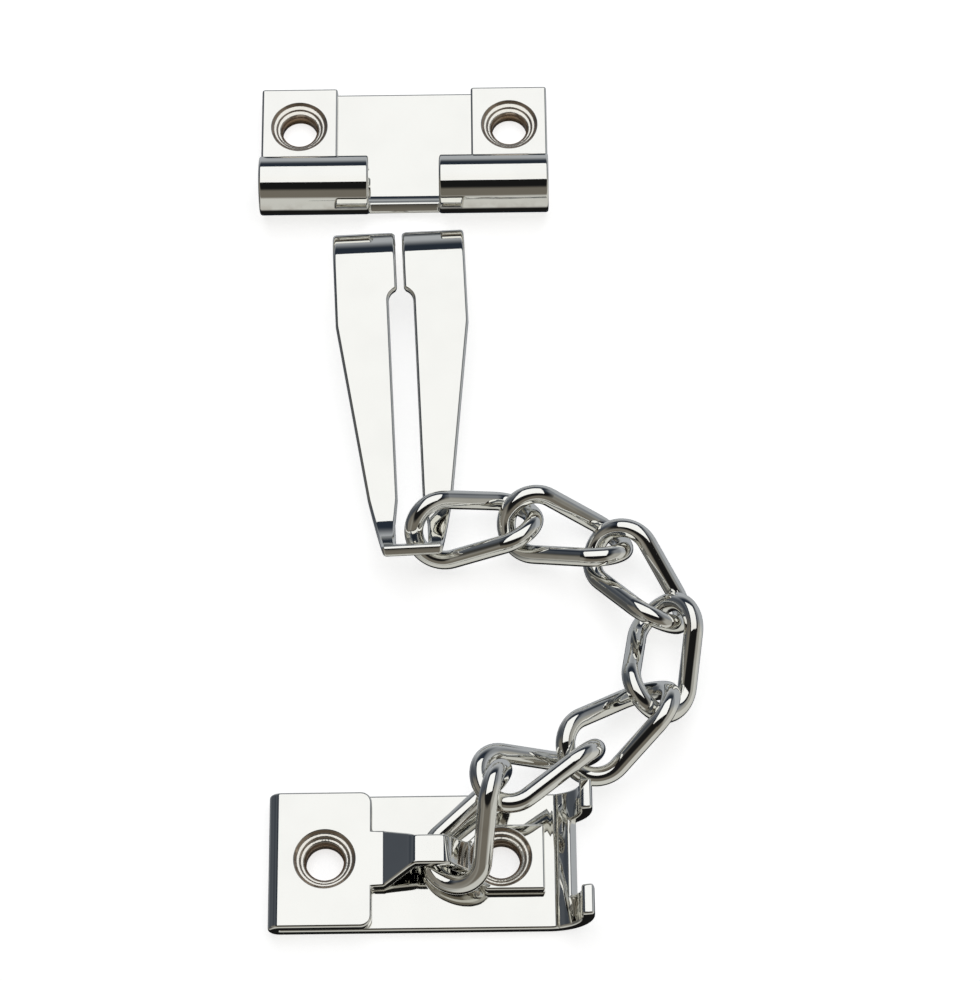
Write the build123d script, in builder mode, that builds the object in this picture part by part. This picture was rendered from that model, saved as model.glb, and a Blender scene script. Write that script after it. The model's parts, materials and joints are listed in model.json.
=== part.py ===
"""Door chain, laid out flat: a keep, a slotted hasp, a chain of twisted links and a base plate.

Millimetres, +Z up. The plates lie on their backs on z = 0. The origin is on the back of the base plate,
midway between its two screw holes, with +X along the screw row and +Y towards the keep.
"""

import os
from math import asin, atan, cos, degrees, radians, sin, sqrt

from build123d import *

# Sheet of the two plates
sheet = 1.7
hem_gap = 0.1
screw_hole = 5.2
countersink = 8.5

# Base plate
base_width = 19.5
base_screws = 24.2
fold_margin = 7.7
tab_length = 14.2
tab_corner = 1.6
neck_width = 8.1
neck_length = 1.6
strap_width = 4.2
strap_rise_start = 2.0
strap_rise_run = 4.0
strap_crest = 4.0
strap_fall_run = 3.0
strap_bend = 1.7
tail_width = 9.5
tail_shoulder = 2.6
tail_margin = 6.0
lug_margin = 0.4
lug_curl_radius = 6.2
lug_curl = 106
lug_gap = 10.8
gutter_curl = 42

# Keep
keep_width = 43.2
keep_screws = 31.8
keep_hole_height = 10.9
keep_height = 17.6
barrel_radius = 4.42
barrel_gap = 10.5
recess_width = 20.2
keep_bend = 1.0
keep_gutter_curl = 50
keep_stand_off = 8.2
keep_shift = 0.9

# Hasp
hasp_sheet = 1.6
hasp_width = 19.4
hasp_waist = 12.2
hasp_foot_width = 8.2
hasp_parallel = 9.0
hasp_flat = 36.0
hook_play = 2.0
hook_wrap = 95
foot_radius = 12.0
foot_curl = 58
bar_strip = 2.3
slit_width = 1.0
slit_length = 11.5
lip_radius = 1.4
slot_width = 3.6
slot_foot_width = 4.6
hasp_tilt = 6.5
hasp_lean = 2.3
bar_shift = (-0.53, -0.73, 0.02)

# Chain
wire = 2.7
link_length = 20.0
link_width = 10.6
link_twist = 90
bow_play = 1.2
wire_clearance = 0.4

# Where the wire of link 1 passes under the strap: how far round its bow, and its shift from the strap's middle
strap_share = 0.632
strap_shift = (-0.05, 0.74, -0.1)

# Link 2 hangs a little down the bow of link 1
hang_shift = (-0.06, 0.54, -1.3)

# How each link lies: heading in plan, climb towards its far end, and roll about its own length, in degrees
link_lay = [
    (59.6, 23.7, -48.5),
    (21.4, -13.4, -39.6),
    (37.7, 0.6, -11),
    (81.4, -4.4, -1.4),
    (125.4, -1.4, 8.7),
    (163.2, 3.5, 5.7),
    (187.8, 0.6, -5.1),
]

os.makedirs("parts", exist_ok=True)

# Levels that both plates share
back_mid = sheet / 2
top_mid = 1.5 * sheet + hem_gap
plate_top = 2 * sheet + hem_gap
layer_cut = sheet + hem_gap / 2

# Base plate
base_left = -base_screws / 2 - fold_margin
fold_radius = (top_mid - back_mid) / 2
fold_x = base_left + fold_radius + sheet / 2
tab_end = base_left + tab_length
rise_start = tab_end + strap_rise_start
crest_start = rise_start + strap_rise_run
crest_end = crest_start + strap_crest
fall_end = crest_end + strap_fall_run
tail_end = base_screws / 2 + tail_margin
curl_x = tail_end + lug_margin
curl_mid = lug_curl_radius - sheet / 2
strap_under = sheet + wire + 3 * wire_clearance
strap_mid = strap_under + sheet / 2
cut_height = strap_mid + sheet

with BuildPart() as base_plate:
    with BuildSketch(Plane.XZ):
        with BuildLine():
            CenterArc((curl_x, back_mid + curl_mid), curl_mid, -90, lug_curl)
            Line((curl_x, back_mid), (fold_x, back_mid))
            CenterArc((fold_x, back_mid + fold_radius), fold_radius, 90, 180)
            FilletPolyline(
                (fold_x, top_mid),
                (rise_start, top_mid),
                (crest_start, strap_mid),
                (crest_end, strap_mid),
                (fall_end, top_mid),
                (tail_end, top_mid),
                radius=strap_bend,
            )
        trace(line_width=sheet)
    extrude(amount=base_width / 2, both=True)

    # The upper layer is trimmed to the tab, the neck, the strap and the tail
    with BuildSketch(Plane.XY.offset(layer_cut)):
        with Locations(((tab_end + tail_end) / 2, 0)):
            Rectangle(tail_end - tab_end + 2 * tab_corner, base_width)
        with BuildLine():
            Polyline(
                (tab_end - 2 * tab_corner, neck_width / 2),
                (tab_end + neck_length, neck_width / 2),
                (crest_start, strap_width / 2),
                (fall_end, strap_width / 2),
                (fall_end + tail_shoulder, tail_width / 2),
                (tail_end, tail_width / 2),
                (tail_end, -tail_width / 2),
                (fall_end + tail_shoulder, -tail_width / 2),
                (fall_end, -strap_width / 2),
                (crest_start, -strap_width / 2),
                (tab_end + neck_length, -neck_width / 2),
                (tab_end - 2 * tab_corner, -neck_width / 2),
                close=True,
            )
        make_face(mode=Mode.SUBTRACT)
        with Locations((tab_end - 2 * tab_corner, 0)):
            RectangleRounded(4 * tab_corner, base_width, tab_corner, mode=Mode.SUBTRACT)
    extrude(amount=cut_height, mode=Mode.SUBTRACT)

    # Between the lugs the curl stops early, as a shallow gutter
    with BuildSketch(Plane.XZ):
        with BuildLine():
            Polyline(
                (curl_x, back_mid + curl_mid),
                (
                    curl_x + 2 * lug_curl_radius * sin(radians(gutter_curl)),
                    back_mid + curl_mid - 2 * lug_curl_radius * cos(radians(gutter_curl)),
                ),
                (curl_x + 3 * lug_curl_radius, back_mid + curl_mid),
                (curl_x + 3 * lug_curl_radius, 3 * lug_curl_radius),
                (curl_x, 3 * lug_curl_radius),
                close=True,
            )
        make_face()
    extrude(amount=lug_gap / 2, both=True, mode=Mode.SUBTRACT)

    with Locations((-base_screws / 2, 0, plate_top), (base_screws / 2, 0, plate_top)):
        CounterSinkHole(screw_hole / 2, countersink / 2, depth=plate_top + sheet, counter_sink_angle=90)
base_plate.part.label = "base_plate"
export_step(base_plate.part, "parts/base_plate.step")

# One link, twisted about its length: half of it is a wire swept from the tip of one bow, along a straight
# side, to the tip of the other bow, and a half turn about the link's length gives the second half
tip = (link_length - wire) / 2
half_twist = radians(link_twist / 2)
near_side = Vector(0, cos(half_twist), sin(half_twist))
far_side = Vector(0, cos(half_twist), -sin(half_twist))
bow_run = (link_width - wire) / 2 / cos(half_twist)
side_slope = atan(bow_run * sin(half_twist) / tip)
side_way = Vector(cos(side_slope), 0, -sin(side_slope))
near_tip = Vector(-tip, 0, 0)
far_tip = Vector(tip, 0, 0)

with BuildPart() as half_link:
    with BuildLine() as half_line:
        near_bow = TangentArc(near_tip, near_tip + (near_side + side_way) * bow_run, tangent=near_side)
        far_bow = TangentArc(far_tip + (far_side - side_way) * bow_run, far_tip, tangent=side_way)
        Line(near_bow @ 1, far_bow @ 0)
    with BuildSketch(Plane(origin=near_tip, z_dir=near_side)):
        Circle(wire / 2)
    sweep(path=half_line.line)

with BuildPart() as link:
    add(half_link.part)
    add(half_link.part.rotate(Axis.X, 180))

# The links follow each other from the strap: each turns about a point midway between two bow tips
bow_reach = (wire + bow_play) / 2
pivot_x = tip - bow_reach


def lay_plane(heading, climb, roll):
    """A plane at the origin with its X along a link and its Z the link's own upward side."""
    along = Vector(1, 0, 0).rotate(Axis.Y, -climb).rotate(Axis.Z, heading)
    up = Vector(0, 0, 1).rotate(Axis.X, roll).rotate(Axis.Y, -climb).rotate(Axis.Z, heading)
    return Plane(origin=(0, 0, 0), x_dir=along, z_dir=up)


strap_middle = Vector((crest_start + crest_end) / 2, 0, (sheet + strap_under) / 2)
under_strap = strap_middle + Vector(*strap_shift)
first = lay_plane(*link_lay[0])
middle = under_strap - first.from_local_coords(near_bow @ strap_share)
pivots = [middle + first.x_dir * pivot_x + Vector(*hang_shift)]
planes = [Plane(origin=middle, x_dir=first.x_dir, z_dir=first.z_dir)]
for lay in link_lay[1:]:
    turned = lay_plane(*lay)
    middle = pivots[-1] + turned.x_dir * pivot_x
    planes.append(Plane(origin=middle, x_dir=turned.x_dir, z_dir=turned.z_dir))
    pivots.append(middle + turned.x_dir * pivot_x)

for number, plane in enumerate(planes, 1):
    with BuildPart() as chain_link:
        with Locations(plane):
            add(link.part)
    chain_link.part.label = f"chain_link_{number}"
    export_step(chain_link.part, f"parts/chain_link_{number}.step")

# Hasp, in its own plane: y runs up the legs from the start of the foot's curl, z = 0 is the back of the sheet
hasp_mid = hasp_sheet / 2
hook_mid = barrel_radius + hook_play + hasp_mid
foot_mid = foot_radius - hasp_mid
bar_turn = foot_curl - degrees(bar_strip / foot_mid)
bar_middle = radians((foot_curl + bar_turn) / 2)
bar_inner_y = -foot_mid * sin(radians(bar_turn))
foot_end_y = -foot_radius * sin(radians(foot_curl))
hook_top_y = hasp_flat + hook_mid + hasp_mid
slot_top_y = hook_top_y - slit_length
taper_top_y = hasp_flat - hasp_parallel

# The foot's bar stands over the wire of the last link, square to the slope of the bow
bar_stand_off = wire / 2 + bar_strip / 2 + 2 * wire_clearance
last_tip = pivots[-1] + planes[-1].x_dir * bow_reach
tip_side = planes[-1].from_local_coords(far_side) - planes[-1].origin
bar_place = last_tip + planes[-1].x_dir.cross(tip_side) * bar_stand_off + Vector(*bar_shift)
hasp_turn = Plane(
    origin=(0, 0, 0),
    x_dir=Vector(1, 0, 0).rotate(Axis.Z, hasp_lean),
    z_dir=Vector(0, 0, 1).rotate(Axis.X, hasp_tilt).rotate(Axis.Z, hasp_lean),
)
bar_local = Vector(0, -foot_mid * sin(bar_middle), hasp_mid + foot_mid * (1 - cos(bar_middle)))
hasp_origin = bar_place - hasp_turn.from_local_coords(bar_local)
hasp_face = Plane(origin=hasp_origin, x_dir=hasp_turn.x_dir, z_dir=hasp_turn.z_dir)
hasp_side = Plane(origin=hasp_origin, x_dir=hasp_turn.y_dir, z_dir=hasp_turn.x_dir)

with BuildPart() as hasp:
    with BuildSketch(hasp_side):
        with BuildLine():
            CenterArc((0, hasp_mid + foot_mid), foot_mid, -90, -foot_curl)
            Line((0, hasp_mid), (hasp_flat, hasp_mid))
            CenterArc((hasp_flat, hasp_mid - hook_mid), hook_mid, 90, -hook_wrap)
        trace(line_width=hasp_sheet)
    extrude(amount=hasp_width / 2, both=True)
    with BuildSketch(hasp_face) as outline:
        with BuildLine():
            Polyline(
                (-hasp_width / 2, hook_top_y),
                (hasp_width / 2, hook_top_y),
                (hasp_width / 2, taper_top_y),
                (hasp_waist / 2, 0),
                (hasp_foot_width / 2, foot_end_y),
                (-hasp_foot_width / 2, foot_end_y),
                (-hasp_waist / 2, 0),
                (-hasp_width / 2, taper_top_y),
                close=True,
            )
        make_face()
        with Locations((0, (slot_top_y + hook_top_y) / 2)):
            Rectangle(slit_width, hook_top_y - slot_top_y + slot_width, mode=Mode.SUBTRACT)
        with BuildLine():
            Polyline(
                (-slot_width / 2, slot_top_y - slot_width / 2),
                (-slot_width / 2, 0),
                (-slot_foot_width / 2, bar_inner_y / 2),
                (-slot_foot_width / 2, bar_inner_y),
                (slot_foot_width / 2, bar_inner_y),
                (slot_foot_width / 2, bar_inner_y / 2),
                (slot_width / 2, 0),
                (slot_width / 2, slot_top_y - slot_width / 2),
            )
            ThreePointArc(
                (slot_width / 2, slot_top_y - slot_width / 2),
                (0, slot_top_y),
                (-slot_width / 2, slot_top_y - slot_width / 2),
            )
        make_face(mode=Mode.SUBTRACT)
        lips = [corner for corner in outline.vertices() if abs(corner.X) < slit_width and corner.Y > hasp_flat]
        fillet(lips, lip_radius)
    extrude(amount=2 * foot_radius, both=True, mode=Mode.INTERSECT)
hasp.part.label = "hasp"
export_step(hasp.part, "parts/hasp.step")

# Keep: its barrels stand a little beyond the hasp's hooks
hook_edge = hasp_face.from_local_coords(Vector(0, hook_top_y, 0))
keep_axis_y = hook_edge.Y + keep_stand_off
keep_x = hook_edge.X + keep_shift
roll_mid = barrel_radius - sheet / 2
bend_y = sqrt((roll_mid + keep_bend) ** 2 - (barrel_radius - top_mid - keep_bend) ** 2)
bend_turn = degrees(asin((barrel_radius - top_mid - keep_bend) / (roll_mid + keep_bend)))
keep_side = Plane(origin=(keep_x, keep_axis_y, 0), x_dir=(0, 1, 0), z_dir=(1, 0, 0))
keep_face = Plane(origin=(keep_x, keep_axis_y, layer_cut))

with BuildPart() as keep_plate:
    with BuildSketch(keep_side):
        with BuildLine():
            Line((keep_height, back_mid), (0, back_mid))
            CenterArc((0, barrel_radius), roll_mid, -90, -270 - bend_turn)
            CenterArc((bend_y, top_mid + keep_bend), keep_bend, 180 - bend_turn, 90 + bend_turn)
            Line((bend_y, top_mid), (keep_height, top_mid))
        trace(line_width=sheet)
    extrude(amount=keep_width / 2, both=True)

    # Between the tabs the upper layer is cut away, and the roll ends at its own height
    with BuildSketch(keep_face):
        with Locations((0, keep_height)):
            Rectangle(recess_width, 2 * (keep_height - roll_mid / 2))
    extrude(amount=barrel_radius - layer_cut - keep_bend / 2, mode=Mode.SUBTRACT)

    # Between the barrels the sheet stops as a gutter
    with BuildSketch(keep_side):
        with BuildLine():
            Polyline(
                (0, barrel_radius),
                (
                    -2 * barrel_radius * sin(radians(keep_gutter_curl)),
                    barrel_radius - 2 * barrel_radius * cos(radians(keep_gutter_curl)),
                ),
                (-3 * barrel_radius, barrel_radius),
                (-3 * barrel_radius, 3 * barrel_radius),
                (2 * barrel_radius, 3 * barrel_radius),
                (2 * barrel_radius, layer_cut),
                (0, layer_cut),
                close=True,
            )
        make_face()
    extrude(amount=barrel_gap / 2, both=True, mode=Mode.SUBTRACT)

    hole_y = keep_axis_y + keep_hole_height
    with Locations(
        (keep_x - keep_screws / 2, hole_y, plate_top),
        (keep_x + keep_screws / 2, hole_y, plate_top),
    ):
        CounterSinkHole(screw_hole / 2, countersink / 2, depth=plate_top + sheet, counter_sink_angle=90)
keep_plate.part.label = "keep_plate"
export_step(keep_plate.part, "parts/keep_plate.step")

for number, pivot in enumerate(pivots, 1):
    print(f"pivot {number}: {pivot.X:.2f} {pivot.Y:.2f} {pivot.Z:.2f}")
print(f"under strap: {under_strap.X:.2f} {under_strap.Y:.2f} {under_strap.Z:.2f}")
print(f"last tip: {last_tip.X:.2f} {last_tip.Y:.2f} {last_tip.Z:.2f}")
print(f"keep screws: {keep_x:.2f} {hole_y:.2f}")
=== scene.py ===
# %% [markdown]
# # A door chain, dressed in Blender
#
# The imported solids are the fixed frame: two folded plates, a slotted hasp and a chain of twisted links, all
# lying on a table. They already have the right size and place. This lesson gives them what a solid model
# lacks: broken edges, a polished plated skin, and the studio light that such a skin needs.

import json
import math

import bmesh
import bpy
from mathutils import Matrix, Vector
from mathutils.geometry import area_tri, delaunay_2d_cdt


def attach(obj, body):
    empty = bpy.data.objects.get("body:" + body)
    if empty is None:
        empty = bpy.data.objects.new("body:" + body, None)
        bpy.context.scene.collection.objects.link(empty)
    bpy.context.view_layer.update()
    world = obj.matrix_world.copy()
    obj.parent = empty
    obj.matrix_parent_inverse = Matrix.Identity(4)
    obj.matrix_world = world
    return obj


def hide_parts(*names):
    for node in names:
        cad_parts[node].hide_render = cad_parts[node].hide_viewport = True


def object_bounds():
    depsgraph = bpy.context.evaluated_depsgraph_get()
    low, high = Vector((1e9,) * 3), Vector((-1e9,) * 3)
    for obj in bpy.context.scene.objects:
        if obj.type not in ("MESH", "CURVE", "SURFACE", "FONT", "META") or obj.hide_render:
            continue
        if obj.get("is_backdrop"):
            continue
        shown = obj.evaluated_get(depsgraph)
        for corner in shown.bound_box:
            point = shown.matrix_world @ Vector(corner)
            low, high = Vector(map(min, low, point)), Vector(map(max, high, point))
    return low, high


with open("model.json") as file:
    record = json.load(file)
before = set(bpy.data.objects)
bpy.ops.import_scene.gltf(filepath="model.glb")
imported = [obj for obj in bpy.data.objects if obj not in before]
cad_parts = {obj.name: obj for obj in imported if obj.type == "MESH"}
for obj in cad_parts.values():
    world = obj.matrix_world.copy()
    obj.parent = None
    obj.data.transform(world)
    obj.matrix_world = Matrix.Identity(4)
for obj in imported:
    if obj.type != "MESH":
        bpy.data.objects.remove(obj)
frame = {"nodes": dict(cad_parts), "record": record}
cad_low, cad_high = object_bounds()
mm = 0.001
print("nodes:", ", ".join(sorted(frame["nodes"])))
print("box in mm:", [round(side / mm, 1) for side in cad_high - cad_low])

# %% [markdown]
# ## The camera
#
# The photograph looks steeply down from the side of the base plate. A long lens at half a metre gives its
# mild perspective. The camera could be matched by eye, but it is simpler to place it by its aim, its
# elevation and its distance, because each of them can be read from the plates, whose sizes are known.

# %% Camera
aim = Vector((11.2, 57.2, 0.0)) * mm
elevation = math.radians(64.5)
distance = 0.5
camera = bpy.data.objects.new("camera", bpy.data.cameras.new("camera"))
camera.data.lens = 126.6
camera.data.sensor_width = 36.0
back = Vector((0.0, -math.cos(elevation), math.sin(elevation)))
camera.location = aim + back * distance
tilt = Matrix.Rotation(math.pi / 2 - elevation, 3, "X")
roll = Matrix.Rotation(math.radians(-0.7), 3, "Z")
camera.rotation_euler = (tilt @ roll).to_euler()
bpy.context.scene.collection.objects.link(camera)
bpy.context.scene.camera = camera
bpy.context.scene.view_settings.view_transform = "Standard"
print("camera at", [round(c, 3) for c in camera.location])

# %% [markdown]
# ## Shader maths in plain Python
#
# A finish is a small formula over the surface. Node trees hide such formulas, so one class wraps a socket
# and lets it be added and multiplied like a number. Each operation becomes a Math node. Every other node
# comes from one method of the recipe, which takes its type, its settings and its sockets.

# %% Socket and recipe


class Value:
    """One number that varies over the surface."""

    def __init__(self, tree, socket):
        self.tree = tree
        self.socket = socket

    def maths(self, operation, first, second=0.0):
        node = self.tree.nodes.new("ShaderNodeMath")
        node.operation = operation
        join(self.tree, first, node.inputs[0])
        join(self.tree, second, node.inputs[1])
        return Value(self.tree, node.outputs[0])

    def __add__(self, other):
        return self.maths("ADD", self, other)

    def __radd__(self, other):
        return self.maths("ADD", other, self)

    def __sub__(self, other):
        return self.maths("SUBTRACT", self, other)

    def __rsub__(self, other):
        return self.maths("SUBTRACT", other, self)

    def __mul__(self, other):
        return self.maths("MULTIPLY", self, other)

    def __rmul__(self, other):
        return self.maths("MULTIPLY", other, self)

    def __abs__(self):
        return self.maths("ABSOLUTE", self)


def join(tree, value, socket):
    """Links a value to a socket, or sets the socket to a plain number."""
    if isinstance(value, Value):
        tree.links.new(value.socket, socket)
    else:
        socket.default_value = value


class Recipe:
    """The node tree of one finish."""

    def __init__(self, tree):
        self.tree = tree
        tree.nodes.clear()

    def node(self, kind, settings=None, sockets=None, output=0):
        made = self.tree.nodes.new(kind)
        for name, setting in (settings or {}).items():
            setattr(made, name, setting)
        for name, value in (sockets or {}).items():
            join(self.tree, value, made.inputs[name])
        return Value(self.tree, made.outputs[output]) if made.outputs else None

    def step(self, value, low, high):
        """Zero below low, one above high, smooth between."""
        settings = {"interpolation_type": "SMOOTHSTEP"}
        sockets = {"Value": value, "From Min": low, "From Max": high}
        return self.node("ShaderNodeMapRange", settings, sockets)

    def blend(self, mask, first, second):
        """A colour between two colours, which a Mix node takes at its sockets 6 and 7."""
        return self.node("ShaderNodeMix", {"data_type": "RGBA"}, {0: mask, 6: first, 7: second}, output=2)


print("shader maths ready")

# %% [markdown]
# ## The room
#
# Polished metal shows nothing but its surroundings, so the room is the finish. The flat faces in the
# photograph are almost white, and every round one has a white band, then a black, a brown and a light grey
# one, and ends in a dark rim. That is one soft light above in a dark room, a dim wall in front, a lit belt
# under the horizon where the table would be, and dark again straight below, in the shade of the piece.
# Two brighter patches at the sides keep the faces from going black when they are seen from low down. A
# picture of a studio could light the scene as well, but a formula of the direction is plain and easy to
# tune. Only the camera's own view of the room is pale, so that the side views have a plain backdrop.

# %% Dark room
world = bpy.data.worlds.new("dark room")
bpy.context.scene.world = world
world.use_nodes = True
room = Recipe(world.node_tree)
direction = room.node("ShaderNodeTexCoord", output=0)
across, depth, height = [
    room.node("ShaderNodeSeparateXYZ", sockets={0: direction}, output=axis) for axis in range(3)
]
behind = room.step(depth, -0.1, 0.35)
belt_top = behind * room.step(height, 0.02, 0.44) + (1 - behind) * room.step(height, 0.08, 0.26)
side_height = room.step(height, 0.0, 0.2) * (1 - room.step(height, 0.55, 0.8))
side = room.step(abs(across), 0.45, 0.68) * side_height
belt = room.step(height, -0.86, -0.7) * (1 - belt_top) + 0.5 * side
belt = belt * (0.12 + 0.88 * room.step(across, -0.9, -0.35))
wall = (1 - behind) * room.step(height, 0.0, 0.1) * (1 - room.step(height, 0.6, 0.76))
dark_colour = room.blend(behind, (0.010, 0.010, 0.010, 1), (0.022, 0.030, 0.044, 1))
wall_colour = room.blend(wall, dark_colour, (0.17, 0.155, 0.13, 1))
belt_colour = room.blend(behind, (0.62, 0.62, 0.59, 1), (0.42, 0.44, 0.47, 1))
room_colour = room.blend(belt, wall_colour, belt_colour)
dark_room = room.node("ShaderNodeBackground", sockets={"Color": room_colour})
backdrop = room.node("ShaderNodeBackground", sockets={"Color": (0.93, 0.93, 0.93, 1)})
seen = room.node("ShaderNodeLightPath")
shown = room.node("ShaderNodeMixShader", sockets={0: seen, 1: dark_room, 2: backdrop})
room.node("ShaderNodeOutputWorld", sockets={"Surface": shown})
print("dark room with", len(room.tree.nodes), "nodes")

# %% [markdown]
# ## The lamp
#
# The white band on a barrel is the mirror image of the lamp, so the near and far ends of the lamp set the
# two ends of the band. A spot light would only leave a dot there.

# %% Soft light
panel_brightness = 1.06
panel_height = 0.6
panel_near = -0.13
panel_far = 0.77
panel_width = 0.72
lamp = bpy.data.lights.new("soft panel", "AREA")
lamp.shape = "RECTANGLE"
lamp.size = panel_width
lamp.size_y = panel_far - panel_near
lamp.energy = panel_brightness * math.pi * lamp.size * lamp.size_y
panel = bpy.data.objects.new("soft panel", lamp)
panel.location = aim + Vector((0.0, (panel_near + panel_far) / 2, panel_height))
bpy.context.scene.collection.objects.link(panel)
print("soft panel of", round(lamp.energy, 2), "W")

# %% [markdown]
# ## The table
#
# The photograph is cut out on white. A pale sheet that glows a little stays white in the picture and still
# takes the soft shadows. Mirror rays pass it by, because the room's belt already stands for it.

# %% White table
table_glow = 0.7
table_drop = 0.05 * mm
table_mesh = bpy.data.meshes.new("table")
half = 1.5
corners = [(-half, -half, 0), (half, -half, 0), (half, half, 0), (-half, half, 0)]
table_mesh.from_pydata(corners, [], [(0, 1, 2, 3)])
table = bpy.data.objects.new("table", table_mesh)
table.location = (aim.x, aim.y, -table_drop)
bpy.context.scene.collection.objects.link(table)
table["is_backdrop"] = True
table.visible_glossy = False
table_finish = bpy.data.materials.new("white table")
table_finish.use_nodes = True
paper = Recipe(table_finish.node_tree)
matt = {"Base Color": (0.9, 0.9, 0.9, 1), "Roughness": 0.9}
matt["Emission Color"] = (1.0, 1.0, 1.0, 1)
matt["Emission Strength"] = table_glow
paper_surface = paper.node("ShaderNodeBsdfPrincipled", sockets=matt)
paper.node("ShaderNodeOutputMaterial", sockets={"Surface": paper_surface})
table_mesh.materials.append(table_finish)
print("white table", 2 * half, "m wide")

# %% [markdown]
# ## Broken edges
#
# Pressed sheet has no razor edges: shearing, tumbling and plating round them by a few tenths of a
# millimetre, and each round mirrors the dark room as a thin dark line. The solids have sharp edges. A Bevel
# modifier can't work on them as imported, because each face has its own points there, so a copy is welded,
# its flat triangles are joined to whole faces, and its sharp edges are bevelled. The rims of the
# countersinks were cut later with a drill, so they are much crisper and get a small bevel of their own.

# %% Find and round sharp edges
sharp_angle = math.radians(32)


def rounded(form, edges, width, segments):
    """Rounds some edges of a mesh in the making."""
    bmesh.ops.bevel(
        form,
        geom=edges,
        offset=width,
        offset_type="OFFSET",
        segments=segments,
        profile=0.5,
        affect="EDGES",
        clamp_overlap=False,
    )


def sharp_edges(form):
    """The edges at which two faces meet at a clear angle."""
    return [e for e in form.edges if len(e.link_faces) == 2 and e.calc_face_angle() > sharp_angle]


print("edges over", round(math.degrees(sharp_angle)), "degrees count as sharp")

# %% [markdown]
# ## Faces round an opening
#
# The end of a rolled barrel is one flat face in the shape of a C. Where the bevel folds a corner of its
# outline over itself, the usual way to fill it fails and closes the barrel. Such a face gives itself away:
# its triangles cover more than its outline does. It is filled anew by a Delaunay triangulation, which
# copes with outlines that cross themselves.

# %% Fill such faces anew
cover_limit = 1.02
inside_only = 1
same_point = 1e-5


def refilled(form):
    """Fills a face anew where its triangles cover more than its outline."""
    covered = {}
    for loops in form.calc_loop_triangles():
        face = loops[0].face
        covered[face] = covered.get(face, 0) + area_tri(*[loop.vert.co for loop in loops])
    for face in [f for f in covered if len(f.verts) > 4 and covered[f] > cover_limit * f.calc_area()]:
        outline = list(face.verts)
        corner = outline[0].co.copy()
        first = face.normal.orthogonal().normalized()
        second = face.normal.cross(first)
        offsets = [(vertex.co - corner) / mm for vertex in outline]
        flat = [Vector((offset.dot(first), offset.dot(second))) for offset in offsets]
        form.faces.remove(face)
        result = delaunay_2d_cdt(flat, [], [list(range(len(flat)))], inside_only, same_point)
        spots, fills, sources = result[0], result[2], result[3]
        points = []
        for spot, source in zip(spots, sources):
            place = corner + (first * spot.x + second * spot.y) * mm
            points.append(outline[source[0]] if source else form.verts.new(place))
        for fill in fills:
            form.faces.new([points[k] for k in fill])
    form.normal_update()


print("faces are filled anew over a cover of", cover_limit)

# %% [markdown]
# ## A skin for a solid
#
# The copy lies exactly on its solid. Weighted normals keep the large faces flat to the very start of each
# round, so that a mirror finish shows no false dents.

# %% Make a skin
weld_reach = 0.002 * mm
flat_angle = math.radians(0.4)
crease_angle = math.radians(50)
hole_zone = 4.6 * mm
rim_round = 0.12 * mm


def edge_broken(node, width, holes):
    """A copy of a solid with its sharp edges rounded, in the solid's place."""
    mesh = bpy.data.meshes.new(node + "_skin")
    form = bmesh.new()
    form.from_mesh(frame["nodes"][node].data)
    bmesh.ops.remove_doubles(form, verts=form.verts, dist=weld_reach)
    bmesh.ops.dissolve_limit(form, angle_limit=flat_angle, verts=form.verts, edges=form.edges)

    def at_hole(edge):
        middle = (edge.verts[0].co + edge.verts[1].co) / 2
        return any((middle - Vector(hole)).to_2d().length < hole_zone for hole in holes)

    rounded(form, [e for e in sharp_edges(form) if not at_hole(e)], width, segments=4)
    rounded(form, [e for e in sharp_edges(form) if at_hole(e)], rim_round, segments=2)
    refilled(form)
    for face in form.faces:
        face.smooth = True
    for edge in form.edges:
        edge.smooth = len(edge.link_faces) != 2 or edge.calc_face_angle() < crease_angle
    form.to_mesh(mesh)
    form.free()
    piece = bpy.data.objects.new(node + "_skin", mesh)
    bpy.context.scene.collection.objects.link(piece)
    even = piece.modifiers.new("even normals", "WEIGHTED_NORMAL")
    even.keep_sharp = True
    even.weight = 100
    return piece


print("hole rims are rounded by", round(rim_round / mm, 2), "mm")

# %% [markdown]
# ## Polished plating
#
# Plating is a metal mirror with faults: a faint waviness of the pressed sheet, fine wiping marks, and a
# faint stain in patches on the wire. Painted on top are brown shade on the upright faces and in rings round
# the screw holes, and a cream sheen in the countersinks. A photograph of plating would fix one set of
# reflections in place, so the finish is a formula instead.

# %% Plated finish


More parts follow.
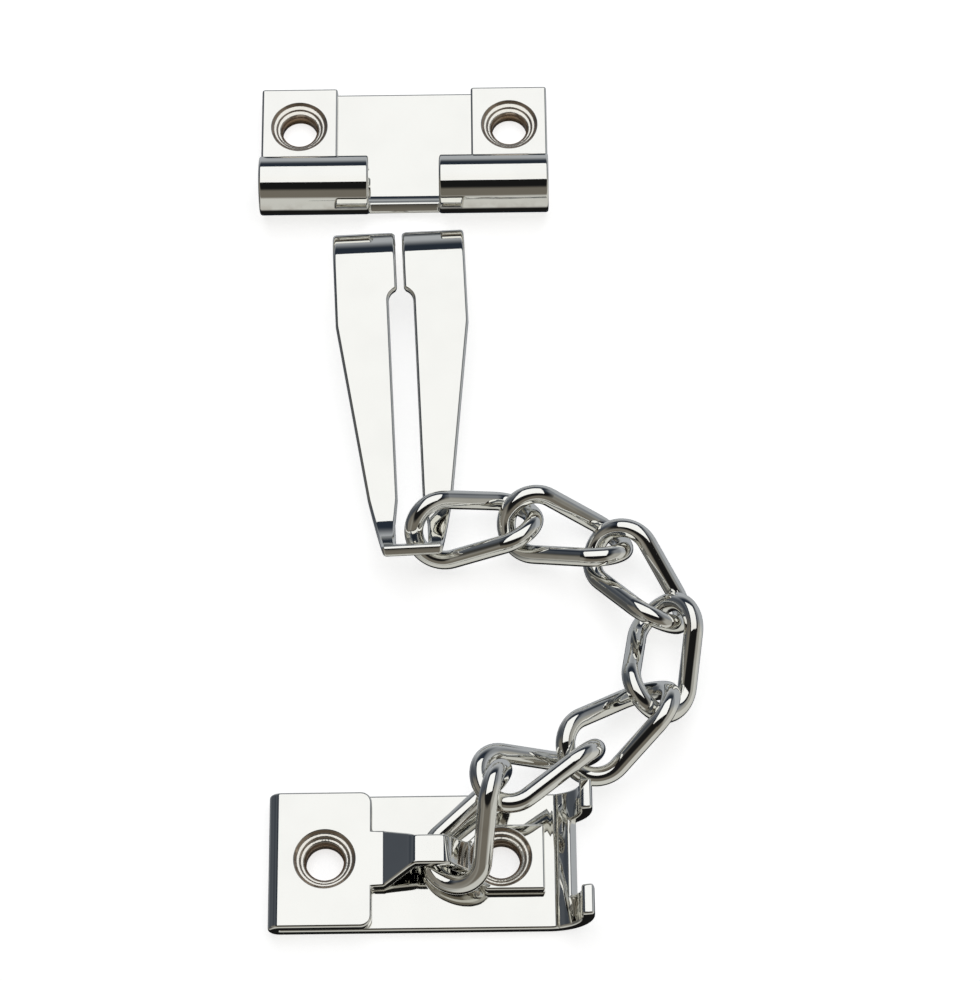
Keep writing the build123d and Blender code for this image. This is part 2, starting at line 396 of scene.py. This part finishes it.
def plated(name, tint, wave, faults_and_painted_shade):
    """Bright plating: the last argument is a function of the recipe that gives painted shade and stain,
    dullness with a painted cream sheen, and turned relief.
    """
    finish = bpy.data.materials.new(name)
    finish.use_nodes = True
    recipe = Recipe(finish.node_tree)
    place = recipe.node("ShaderNodeTexCoord", output=3)
    wiped = recipe.node("ShaderNodeMapping", sockets={"Vector": place, "Scale": (900, 4200, 2400)})
    marks = recipe.node("ShaderNodeTexNoise", sockets={"Vector": wiped, "Scale": 1.0, "Detail": 3.0})
    cloud = recipe.node("ShaderNodeTexNoise", sockets={"Vector": place, "Scale": 160.0, "Detail": 2.0})
    press = recipe.node("ShaderNodeTexNoise", sockets={"Vector": place, "Scale": wave, "Detail": 1.0})
    painted_shade_and_stain, dull_and_painted_sheen, turned = faults_and_painted_shade(recipe, place)
    shade = tuple(0.95 * c for c in tint[:3]) + (1,)
    skin = recipe.blend(recipe.step(cloud, 0.35, 0.75) * 0.5, tint, shade)
    # A cream painted sheen for the countersink cones, in place of their reflection of the lamp.
    painted_sheen_cream = (0.97, 0.92, 0.82, 1)
    # The brown of painted shade on plates and hasp, and of a faint stain on the wire.
    painted_shade_and_stain_brown = (0.26, 0.17, 0.10, 1)
    # The cones take the cream painted sheen where the metal is duller.
    cone = recipe.blend(dull_and_painted_sheen, skin, painted_sheen_cream)
    colour = recipe.blend(painted_shade_and_stain, cone, painted_shade_and_stain_brown)
    rough = 0.03 + 0.02 * recipe.step(cloud, 0.4, 0.8) + 0.03 * recipe.step(marks, 0.5, 0.8)
    rough = rough + 0.1 * painted_shade_and_stain + 0.1 * dull_and_painted_sheen
    relief = press + 0.004 * marks + turned
    raised = {"Height": relief, "Strength": 1.0, "Distance": 0.11 * mm}
    bump = recipe.node("ShaderNodeBump", sockets=raised)
    metal = {"Base Color": colour, "Roughness": rough, "Metallic": 1 - 0.4 * dull_and_painted_sheen, "Normal": bump}
    surface = recipe.node("ShaderNodeBsdfPrincipled", sockets=metal)
    recipe.node("ShaderNodeOutputMaterial", sockets={"Surface": surface})
    print(name, "has", len(recipe.tree.nodes), "nodes")
    return finish


print("plating ready")

# %% [markdown]
# ## The faults and painted shade of each piece
#
# The upright faces, which get painted shade, are known by where they face, and the countersinks by their
# distance from a screw. Each cone is painted cream as a sheen and turned in two steps, which a bump makes: a
# step lies flatter than the cone, so it mirrors the lamp as a bright ring, and rings of brown painted shade
# lie between. Modelled steps would look the same, at far more faces than a ring of one or two pixels is
# worth.

# %% Painted shade and stain, dullness with a painted sheen, and turned steps


def upright_painted_shade(recipe, place):
    """Painted shade: brown on the upright faces, in patches."""
    facing = recipe.node("ShaderNodeTexCoord", output=1)
    upward = recipe.node("ShaderNodeSeparateXYZ", sockets={0: facing}, output=2)
    # The faces that stand upright get brown painted shade, broken into noise patches.
    upright = 1 - recipe.step(abs(upward), 0.1, 0.5)
    patch = recipe.node("ShaderNodeTexNoise", sockets={"Vector": place, "Scale": 420.0, "Detail": 2.0})
    return 0.6 * upright * recipe.step(patch, 0.38, 0.66)


def plate_faults_and_painted_shade(centres):
    """Painted shade on the upright faces, and at each screw a cone painted cream as a sheen, with two bright
    turned steps between rings of brown painted shade.
    """

    def faults_and_painted_shade(recipe, place):
        # Painted shade on the upright faces, weaker on the plates than on the hasp.
        painted_shade_and_stain = 0.35 * upright_painted_shade(recipe, place)
        dull_and_painted_sheen = 0.0
        turned = 0.0
        for centre in centres:
            vector = "ShaderNodeVectorMath"
            away = recipe.node(vector, {"operation": "SUBTRACT"}, {0: place, 1: centre})
            flat = recipe.node(vector, {"operation": "MULTIPLY"}, {0: away, 1: (1, 1, 0)})
            reach = recipe.node(vector, {"operation": "LENGTH"}, {0: flat}, output=1)
            inside = 1 - recipe.step(reach, 4.1 * mm, 4.3 * mm)
            rim = inside * recipe.step(reach, 3.75 * mm, 3.95 * mm)
            throat = 1 - recipe.step(reach, 2.75 * mm, 3.0 * mm)
            groove = recipe.step(reach, 3.22 * mm, 3.32 * mm)
            groove = groove * (1 - recipe.step(reach, 3.4 * mm, 3.5 * mm))
            # The rim, groove and throat rings are brown painted shade in the recess of the cone.
            painted_shade_and_stain = painted_shade_and_stain + 0.8 * rim + 0.75 * groove + 0.85 * throat
            # Inside the countersink the metal is duller and painted cream as a sheen.
            dull_and_painted_sheen = 0.6 * inside + dull_and_painted_sheen
            outer_step = recipe.step(reach, 3.4 * mm, 3.9 * mm)
            inner_step = recipe.step(reach, 2.85 * mm, 3.35 * mm)
            turned = turned - 3.0 * (outer_step + inner_step)
        return painted_shade_and_stain, dull_and_painted_sheen, turned

    return faults_and_painted_shade


def hasp_painted_shade(recipe, place):
    """Painted shade on the upright faces only."""
    return 0.6 * upright_painted_shade(recipe, place), 0.0, 0.0


def wire_faults(recipe, place):
    """A faint trace of staining in soft patches, as on drawn and bent wire."""
    patch = recipe.node("ShaderNodeTexNoise", sockets={"Vector": place, "Scale": 210.0, "Detail": 2.0})
    return 0.14 * recipe.step(patch, 0.56, 0.78), 0.0, 0.0


print("faults ready for plates, hasp and wire")

# %% [markdown]
# ## Dressing
#
# A skin hides its solid and rides on the same body, so it moves with the joints. The links need no skin:
# a bent wire has no edges, so they stay as they are and only get the finish.

# %% Where the screws go
mounts = {m["name"]: m for m in frame["record"]["mounts"]}


def screw_centres(name):
    """Where a plate's two screws go, from its mount."""
    mount = mounts[name]
    half_row = mount["dims"]["spacing_x_mm"] / 2 * mm
    middle = Vector(mount["pos_m"])
    return [tuple(middle + Vector((side * half_row, 0, 0))) for side in (-1, 1)]


holes = {
    "base_plate": screw_centres("base_screws"),
    "keep_plate": screw_centres("keep_screws"),
    "hasp": [],
}
print("screws:", sum(len(centres) for centres in holes.values()))

# %% Finishes
bright = (0.855, 0.85, 0.81, 1)
edge_round = {"base_plate": 0.38 * mm, "keep_plate": 0.38 * mm, "hasp": 0.5 * mm}
finishes = {
    "base_plate": plated("plated base sheet", bright, 70.0, plate_faults_and_painted_shade(holes["base_plate"])),
    "keep_plate": plated("plated keep sheet", bright, 70.0, plate_faults_and_painted_shade(holes["keep_plate"])),
    "hasp": plated("plated hasp", bright, 60.0, hasp_painted_shade),
}
wire_finish = plated("plated wire", bright, 120.0, wire_faults)

# %% Dress the pieces
for node, finish in finishes.items():
    piece = edge_broken(node, edge_round[node], holes[node])
    piece.data.materials.append(finish)
    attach(piece, "hasp" if node == "hasp" else "plates")
    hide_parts(node)
    print(node, "skin has", len(piece.data.polygons), "faces")

for node, solid in frame["nodes"].items():
    if node.startswith("chain_link"):
        solid.data.materials.clear()
        solid.data.materials.append(wire_finish)
        print(node, "has", wire_finish.name)

# %% [markdown]
# ## Size
#
# Dressing must not change the size, so the change of the box from before to after is printed.

# %% Size
new_low, new_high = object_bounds()
change = (new_high - new_low) - (cad_high - cad_low)
print("size change in mm:", [round(side / mm, 2) for side in change])
